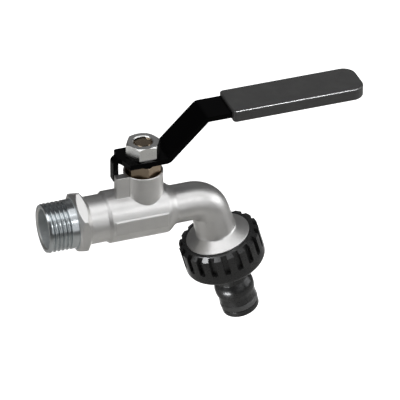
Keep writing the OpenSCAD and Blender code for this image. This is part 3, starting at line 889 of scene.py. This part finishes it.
class RibTree(Tree):
    """Geometry Nodes that sweep a thread's rib along a helix, tapered at both ends."""

    INPUTS = {
        "Radius": "NodeSocketFloat",
        "Height": "NodeSocketFloat",
        "Turns": "NodeSocketFloat",
        "Rib Base": "NodeSocketFloat",
        "Rib Tip": "NodeSocketFloat",
        "Rib Depth": "NodeSocketFloat",
        "Material": "NodeSocketMaterial",
    }
    STEPS_PER_TURN = 72
    TAPER = 14.0  # the rib has its full size from 1/14 of its length on
    THINNEST = 0.02  # share of the full size at its very ends

    def __init__(self, name: str) -> None:
        """Builds the tree.

        Args:
            name: name of the node group.
        """
        super().__init__(bpy.data.node_groups.new(name, "GeometryNodeTree"))
        face = self.tree.interface
        self.ids = {
            label: face.new_socket(label, in_out="INPUT", socket_type=kind).identifier
            for label, kind in self.INPUTS.items()
        }
        face.new_socket("Geometry", in_out="OUTPUT", socket_type="NodeSocketGeometry")
        source = self.node("NodeGroupInput").outputs
        sweep = self.node(
            "GeometryNodeCurveToMesh",
            inputs={
                "Curve": self.helix(source),
                "Profile Curve": self.profile(source),
                "Fill Caps": True,
            },
        )
        real = self.node(
            "GeometryNodeRealizeInstances", inputs={"Geometry": sweep.outputs[0]}
        )
        dressed = self.node(
            "GeometryNodeSetMaterial",
            inputs={"Geometry": real.outputs[0], "Material": source["Material"]},
        )
        self.node("NodeGroupOutput", inputs={0: dressed.outputs[0]})

    def helix(self, source: bpy.types.NodeOutputs) -> bpy.types.NodeSocket:
        """Adds the helix that the rib follows.

        Args:
            source: the tree's own inputs.

        Returns:
            The helix, with the rib's size along it as its radius.
        """
        spiral = self.node(
            "GeometryNodeCurveSpiral",
            inputs={
                "Resolution": self.STEPS_PER_TURN,
                "Rotations": source["Turns"],
                "Start Radius": source["Radius"],
                "End Radius": source["Radius"],
                "Height": source["Height"],
            },
        )
        upright = self.node(
            "GeometryNodeSetCurveNormal", {"mode": "Z_UP"}, {"Curve": spiral.outputs[0]}
        )
        along = Num(self, self.node("GeometryNodeSplineParameter").outputs["Factor"])
        size = ((0.5 - abs(along - 0.5)) * self.TAPER).clamp(self.THINNEST, 1.0)
        return self.node(
            "GeometryNodeSetCurveRadius", inputs={"Curve": upright.outputs[0], "Radius": size}
        ).outputs[0]

    def profile(self, source: bpy.types.NodeOutputs) -> bpy.types.NodeSocket:
        """Adds the rib's cross-section.

        Args:
            source: the tree's own inputs.

        Returns:
            A closed curve of four corners.
        """
        half_base = Num(self, source["Rib Base"]) * 0.5
        half_tip = Num(self, source["Rib Tip"]) * 0.5
        depth = source["Rib Depth"]
        corners = ((0.0, -half_base), (depth, -half_tip), (depth, half_tip), (0.0, half_base))
        points = {
            f"Point {n}": self.node("ShaderNodeCombineXYZ", inputs={"X": x, "Y": y}).outputs[0]
            for n, (x, y) in enumerate(corners, 1)
        }
        return self.node(
            "GeometryNodeCurvePrimitiveQuadrilateral", {"mode": "POINTS"}, points
        ).outputs[0]

    def grow(self, name: str, values: dict[str, object]) -> bpy.types.Object:
        """Runs the nodes once and keeps the mesh.

        Args:
            name: name of the object.
            values: a value for each named input.

        Returns:
            The object with plain mesh.
        """
        made = link_mesh(name, bpy.data.meshes.new(name), [])
        modifier = made.modifiers.new("rib", "NODES")
        modifier.node_group = self.tree
        for label, value in values.items():
            modifier[self.ids[label]] = value
        bake(made)
        return made


@dataclass(frozen=True)
class Layout:
    """Sizes that several sub-assemblies share with the CAD source, in millimetres."""

    stem_x: float = 44.0
    bend_x: float = 27.64
    tilt: float = 15.4
    pitch: float = 1.814
    outlet_r: float = 13.22
    outlet_phase: float = 0.25

    @property
    def along_body(self) -> Place:
        """The body's axis, from the inlet's face."""
        return Place(Vector((0, 0, 0)), Vector((0, 1, 0)), Vector((0, 0, 1)), Vector((1, 0, 0)))

    @property
    def along_outlet(self) -> Place:
        """The outlet's axis, from its crossing with the body's axis.

        Returns:
            The axis, pointing out of the spout.
        """
        t = math.radians(self.tilt)
        return Place(
            Vector((self.stem_x + self.bend_x, 0, 0)),
            Vector((-math.cos(t), 0, -math.sin(t))),
            Vector((0, 1, 0)),
            Vector((math.sin(t), 0, -math.cos(t))),
        )

    @property
    def outlet_form(self) -> ThreadForm:
        """The form of the outlet's thread, which the hose nut runs on."""
        return ThreadForm(self.outlet_r, self.pitch, self.outlet_phase)


@dataclass(frozen=True)
class Assembly:
    """A group of pieces that ride on one body."""

    body: ClassVar[Body]

    layout: Layout
    finishes: Finishes

    def build(self) -> list[bpy.types.Object]:
        """Builds and dresses the assembly's pieces, and returns them."""
        raise NotImplementedError

    def adopt(self, made: bpy.types.Object, slot: Slot, *nodes: str) -> bpy.types.Object:
        """Lets a finished piece ride on the body in place of its CAD nodes.

        Args:
            made: the piece.
            slot: its material slot in the record; not used.
            nodes: the CAD nodes that it stands for.

        Returns:
            The piece.
        """
        if nodes:
            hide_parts(*nodes)
        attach(made, self.body.value)
        return made

    def dress(
        self, node: str, slot: Slot, material: bpy.types.Material, edge: float = 0.0
    ) -> bpy.types.Object:
        """Copies a CAD node, rounds its edges a little and gives it a finish.

        Args:
            node: name of the CAD node.
            slot: its material slot in the record; not used.
            material: its finish.
            edge: width of the bevel on sharp edges, in millimetres.

        Returns:
            The piece that stands for the node.
        """
        shell = Shell(node)
        if edge:
            shell.soften(edge)
        return self.adopt(shell.to_object(f"{node}_shown", [material]), slot, node)

    def paint(self, node: str, slot: Slot, material: bpy.types.Material) -> bpy.types.Object:
        """Gives a CAD node that stays as it is its finish.

        Args:
            node: name of the CAD node.
            slot: its material slot in the record; not used.
            material: its finish.

        Returns:
            The node's object.
        """
        kept = frame["nodes"][node]
        kept.data.materials.clear()
        kept.data.materials.append(material)
        return kept


@dataclass(frozen=True)
class TapBody(Assembly):
    """The forged body with its two cut threads, and the fixed parts inside it."""

    body = Body.TAP

    inlet_r: float = 10.4775
    inlet_len: float = 12.85
    inlet_phase: float = 0.03
    inlet_fade_in: Span = (0.7, 1.4)
    inlet_fade_out: Span = (9.3, 10.3)
    lead_r: float = 10.1
    lead: float = 1.0
    mouth_r: float = 8.9
    bore_r: float = 8.3
    bore_len: float = 31.4
    chamber_len: float = 10.0
    relief_r: float = 12.0
    outlet_start: float = 20.5
    outlet_full: float = 21.2
    outlet_fade: float = 0.6
    outlet_bevel: float = 0.9
    outlet_end: float = 28.6
    run_out: float = 1.0
    waterway_r: float = 5.03
    slack: float = 0.02
    gland_edge: float = 0.12

    def on_inlet(self, r: float, s: float) -> bool:
        """Tells whether the inlet's thread takes a point's place.

        Args:
            r: the point's distance from the body's axis.
            s: its place along that axis.

        Returns:
            True on the inlet's outside and on its face.
        """
        outside = self.lead_r - self.slack < r < self.inlet_r + self.slack
        on_face = s < self.slack and r > self.mouth_r - self.slack
        return s < self.inlet_len + self.slack and (outside or on_face)

    def inlet_thread(self) -> MaleThread:
        """Describes the inlet's thread, from the bore's mouth to the collar.

        Returns:
            The thread.
        """
        return MaleThread(
            self.layout.along_body,
            ThreadForm(self.inlet_r, self.layout.pitch, self.inlet_phase),
            ((0.0, self.lead_r), (self.lead, self.inlet_r), (self.inlet_len, self.inlet_r)),
            self.inlet_fade_in,
            self.inlet_fade_out,
            self.on_inlet,
        )

    def on_outlet(self, r: float, s: float) -> bool:
        """Tells whether the outlet's thread takes a point's place.

        Args:
            r: the point's distance from the outlet's axis.
            s: its place along that axis.

        Returns:
            True on the outlet's outside and on its face.
        """
        outside = r > self.relief_r - self.slack
        on_face = s > self.outlet_end - self.slack and r > self.waterway_r - self.slack
        beside = self.outlet_start - self.slack < s < self.outlet_end + self.slack
        return beside and (outside or on_face)

    def outlet_thread(self) -> MaleThread:
        """Describes the outlet's thread, from its relief out through the open end.

        Returns:
            The thread.
        """
        outlet_r, end = self.layout.outlet_r, self.outlet_end
        return MaleThread(
            self.layout.along_outlet,
            self.layout.outlet_form,
            (
                (self.outlet_start, self.relief_r),
                (self.outlet_full, outlet_r),
                (end - self.outlet_bevel, outlet_r),
                (end, outlet_r - self.outlet_bevel),
            ),
            (self.outlet_start, self.outlet_full + self.outlet_fade),
            (end + self.run_out, end + 2 * self.run_out),
            self.on_outlet,
        )

    def line_bore(self, shell: Shell) -> None:
        """Gives the inlet's bore and the ball's chamber their own finish, lightened as painted
        light.

        Args:
            shell: the body's shell.
        """
        for face in shell.bm.faces:
            _, r, s = self.layout.along_body.read(face.calc_center_median())
            if r < self.bore_r + self.slack and s < self.bore_len + self.chamber_len:
                face.material_index = Skin.BORE_TURNED

    def build(self) -> list[bpy.types.Object]:
        """Builds the threaded body and dresses the parts inside it.

        Returns:
            The pieces.
        """
        f = self.finishes
        shell = Shell("tap_body")
        self.inlet_thread().cut(shell, Skin.INLET_TURNED)
        self.outlet_thread().cut(shell, Skin.OUTLET_TURNED)
        self.line_bore(shell)
        skins = [f.blasted, f.inlet_turned, f.outlet_turned, f.bore_turned_painted_light]
        seals = ("inlet_seat", "outlet_seat", "stem_thrust_washer", "stem_packing")
        return [
            self.adopt(shell.to_object("tap_body_cut", skins), Slot.PLATED, "tap_body"),
            self.dress("gland_nut", Slot.BRASS, f.brass, self.gland_edge),
            self.paint("ball_retainer", Slot.BRASS, f.brass),
            *(self.paint(node, Slot.SEAL, f.seal) for node in seals),
        ]


@dataclass(frozen=True)
class LeverGroup(Assembly):
    """Everything that turns with the lever."""

    body = Body.LEVER

    sheet_edge: float = 0.12
    nut_edge: float = 0.12
    stem_edge: float = 0.08

    def build(self) -> list[bpy.types.Object]:
        """Dresses the lever, its sleeve, its nut, the stem and the ball.

        Returns:
            The pieces.
        """
        f = self.finishes
        return [
            self.dress("lever", Slot.BLACK_STEEL, f.black_steel, self.sheet_edge),
            self.dress("lever_grip", Slot.SLEEVE, f.sleeve),
            self.dress("lever_nut", Slot.BRIGHT_STEEL, f.zinc, self.nut_edge),
            self.dress("stem", Slot.BRASS, f.brass, self.stem_edge),
            self.paint("ball", Slot.BALL, f.ball),
        ]


@dataclass(frozen=True)
class NippleGroup(Assembly):
    """The hose nipple with its seal ring and washer."""

    body = Body.NIPPLE

    edge: float = 0.1

    def build(self) -> list[bpy.types.Object]:
        """Dresses the nipple, the ring and the washer.

        Returns:
            The pieces.
        """
        f = self.finishes
        return [
            self.dress("nipple", Slot.BLACK_PLASTIC, f.plastic, self.edge),
            self.dress("nipple_seal", Slot.RUBBER, f.rubber),
            self.paint("hose_washer", Slot.RUBBER, f.rubber),
        ]


@dataclass(frozen=True)
class HoseNut(Assembly):
    """The slotted nut with the rib of its female thread."""

    body = Body.NUT

    edge: float = 0.16
    top: float = 20.0
    rib_turns: float = 3.4
    rib_start: float = 1.9
    rib_gap: float = 0.11
    rib_base: float = 1.25
    rib_tip: float = 0.3
    rib_depth: float = 0.95

    def rib(self) -> bpy.types.Object:
        """Grows the rib that runs in the groove of the outlet's thread.

        Returns:
            The rib, with its place in its mesh.
        """
        form, plastic = self.layout.outlet_form, self.finishes.plastic
        made = RibTree("helical_rib").grow(
            "hose_nut_rib",
            {
                "Radius": (form.crest_r + self.rib_gap) * MM,
                "Height": self.rib_turns * form.pitch * MM,
                "Turns": self.rib_turns,
                "Rib Base": self.rib_base * MM,
                "Rib Tip": self.rib_tip * MM,
                "Rib Depth": self.rib_depth * MM,
                "Material": plastic,
            },
        )
        start = form.root_at(0.0, self.top + self.rib_start)
        shift = Matrix.Translation((0, 0, start * MM))
        made.data.transform(self.layout.along_outlet.matrix() @ shift)
        for face in made.data.polygons:
            face.use_smooth = False
        return made

    def build(self) -> list[bpy.types.Object]:
        """Dresses the nut and adds its rib.

        Returns:
            The pieces.
        """
        return [
            self.dress("hose_nut", Slot.BLACK_PLASTIC, self.finishes.plastic, self.edge),
            self.adopt(self.rib(), Slot.BLACK_PLASTIC),
        ]


@dataclass(frozen=True)
class Softbox:
    """A rectangular light that looks at the tap from a direction.

    One with names in gleam_on only puts its reflection on those pieces.
    """

    # An area light of P watts and A square metres has the radiance P / (4 A).
    WATTS: ClassVar[float] = 4.0

    name: str
    azimuth: float
    elevation: float
    width: float
    height: float
    radiance: float
    gleam_on: tuple[str, ...] = ()
    distance: float = 0.9
    color: Color = (0.97, 0.98, 1.0)

    def build(self, target: Vector) -> None:
        """Adds the light.

        Args:
            target: the point that it looks at, in metres.
        """
        side = towards(self.azimuth, self.elevation)
        data = bpy.data.lights.new(self.name, "AREA")
        data.shape = "RECTANGLE"
        data.size, data.size_y = self.width, self.height
        data.energy = self.WATTS * self.radiance * self.width * self.height
        data.color = self.color
        light = bpy.data.objects.new(self.name, data)
        light.location = target + side * self.distance
        light.rotation_euler = (-side).to_track_quat("-Z", "Y").to_euler()
        light.visible_camera = False
        if self.gleam_on:
            light.visible_diffuse = False
            lit = bpy.data.collections.new(f"{self.name}_lit")
            for name in self.gleam_on:
                lit.objects.link(bpy.data.objects[name])
            light.light_linking.receiver_collection = lit
            light.light_linking.blocker_collection = lit
        bpy.context.scene.collection.objects.link(light)


@dataclass(frozen=True)
class Glow:
    """A round patch of painted glow on the floor, fullest over its core; the floor gives off
    light there though it is no lamp.
    """

    x: float
    y: float
    radius: float
    strength: float
    core: float = 0.5

    def shine(self, graph: Graph, floor_z: float) -> Num:
        """Adds the patch to the floor's shader.

        Args:
            graph: the floor's graph.
            floor_z: the floor's height, in metres.

        Returns:
            The patch's share of the floor's light.
        """
        far = graph.node(
            "ShaderNodeVectorMath",
            {"operation": "DISTANCE"},
            {0: graph.coordinates(), 1: (self.x, self.y, floor_z)},
        )
        fade = Num(graph, far.outputs["Value"]).step(self.radius * self.core, self.radius)
        return (1.0 - fade) * self.strength


@dataclass(frozen=True)
class Studio:
    """A pale floor with patches of painted glow, soft lights and the camera, in metres and
    degrees.
    """

    target: Point = (0.066, 0.0, -0.005)
    floor_z: float = -0.42
    floor_half: float = 6.0
    # The floor's painted glow: its strength, its faint glow all over, and its patches.
    floor_glow_strength: float = 1.2
    floor_glow_base: float = 0.02
    floor_color: Color = (0.68, 0.67, 0.64)
    floor_dark: Color = (0.66, 0.65, 0.62)
    floor_roughness: float = 0.9
    floor_swing: float = 0.05
    floor_specular: float = 0.1
    speck_mm: float = 60.0
    glows: tuple[Glow, ...] = (
        Glow(0.29, 0.66, 0.5, 1.0),
        Glow(-1.1, 0.1, 0.8, 0.4),
        Glow(1.1, 0.0, 0.9, 0.1),
    )
    sky: Color = (0.08, 0.08, 0.0816)
    lens: float = 459.32
    sensor: float = 36.0
    azimuth: float = -19.621
    elevation: float = 32.261
    distance: float = 2.124578
    slide: float = 0.023562
    lift: float = 0.004075
    fit_origin: Point = (0.044, 0.0, 0.0)
    clip: Span = (0.05, 50.0)
    boxes: tuple[Softbox, ...] = (
        Softbox("key", 26.0, 32.0, 0.5, 0.5, 0.68),
        Softbox("spark", 22.0, 37.0, 0.16, 0.13, 4.5),
        Softbox("low_front", 14.0, 6.0, 0.7, 0.35, 0.55),
        Softbox("right", 75.0, 14.0, 0.7, 0.4, 1.8),
        Softbox("right_top", 80.0, 53.0, 0.5, 0.6, 1.2),
        Softbox("top", 0.0, 84.0, 0.6, 0.6, 0.7),
        Softbox("top_left", -40.0, 74.0, 0.35, 0.3, 0.6),
        Softbox("top_front", 20.0, 60.0, 0.5, 0.35, 0.5),
        Softbox("left", -60.0, 24.0, 0.4, 0.4, 1.0),
        Softbox("left_top", -80.0, 52.0, 0.5, 0.5, 1.6),
        Softbox("back", 165.0, 30.0, 0.6, 0.4, 0.06),
        Softbox("grip_strip", 20.0, 53.0, 0.8, 0.16, 75.0, ("lever_grip_shown",)),
        Softbox("nut_gleam", -104.5, 50.5, 0.11, 0.11, 75.0, ("hose_nut_shown",)),
        Softbox("nipple_gleam", -57.0, -30.0, 0.28, 0.14, 20.0, ("nipple_shown",), 0.5),
    )

    def floor_finish_and_glow(self) -> bpy.types.Material:
        """Builds the floor's finish: pale, with a faint painted glow all over and softly
        shining patches of painted glow.

        Returns:
            The material.
        """
        graph = Graph("floor")
        shine: float | Num = self.floor_glow_base
        for glow in self.glows:
            shine = shine + glow.shine(graph, self.floor_z)
        speck = graph.noise(self.speck_mm)
        graph.surface(
            {
                "Base Color": graph.mix(speck, self.floor_color, self.floor_dark),
                "Roughness": self.floor_roughness + (speck - 0.5) * self.floor_swing,
                "Specular IOR Level": self.floor_specular,
                # Painted glow: the floor gives off light here, though it is no lamp.
                "Emission Color": graph.mix(shine, BLACK, WHITE),
                "Emission Strength": self.floor_glow_strength,
            }
        )
        return graph.material

    def floor(self) -> None:
        """Lays the floor."""
        h, z = self.floor_half, self.floor_z
        mesh = bpy.data.meshes.new("floor")
        corners = [(-h, -h, z), (h, -h, z), (h, h, z), (-h, h, z)]
        mesh.from_pydata(corners, [], [(0, 1, 2, 3)])
        link_mesh("floor", mesh, [self.floor_finish_and_glow()])

    def air(self) -> None:
        """Fills the studio with faint light from all round."""
        world = bpy.data.worlds.new("sky")
        world.use_nodes = True
        color = world.node_tree.nodes["Background"].inputs["Color"]
        color.default_value = (*self.sky, 1.0)
        bpy.context.scene.world = world

    def camera(self) -> None:
        """Puts the camera at the photograph's angle."""
        back = towards(self.azimuth, self.elevation)
        a = math.radians(self.azimuth)
        right = Vector((math.cos(a), math.sin(a), 0.0))
        up = back.cross(right)
        data = bpy.data.cameras.new("camera")
        data.lens = self.lens
        data.sensor_width = self.sensor
        data.clip_start, data.clip_end = self.clip
        camera = bpy.data.objects.new("camera", data)
        place = Vector(self.fit_origin) + back * self.distance
        shift = Matrix.Translation(place + right * self.slide + up * self.lift)
        turn = Matrix((right, up, back)).transposed()
        camera.matrix_world = shift @ turn.to_4x4()
        bpy.context.scene.collection.objects.link(camera)
        bpy.context.scene.camera = camera

    def build(self) -> None:
        """Builds the floor, the sky, the lights and the camera."""
        self.floor()
        self.air()
        for box in self.boxes:
            box.build(Vector(self.target))
        self.camera()
        bpy.context.scene.view_settings.view_transform = "Standard"


def main() -> None:
    """Builds the tap, reports each piece, and builds the studio round it."""
    logging.basicConfig(level=logging.INFO, format="%(message)s")
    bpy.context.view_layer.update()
    layout = Layout()
    finishes = Finishes(tuple(layout.along_outlet.w))
    for kind in (TapBody, LeverGroup, NippleGroup, HoseNut):
        for piece in kind(layout, finishes).build():
            faces = len(piece.data.polygons)
            LOG.info("%s rides on %s, %d faces", piece.name, kind.body.value, faces)
    Studio().build()
    bpy.context.view_layer.update()


if __name__ == "__main__":
    main()
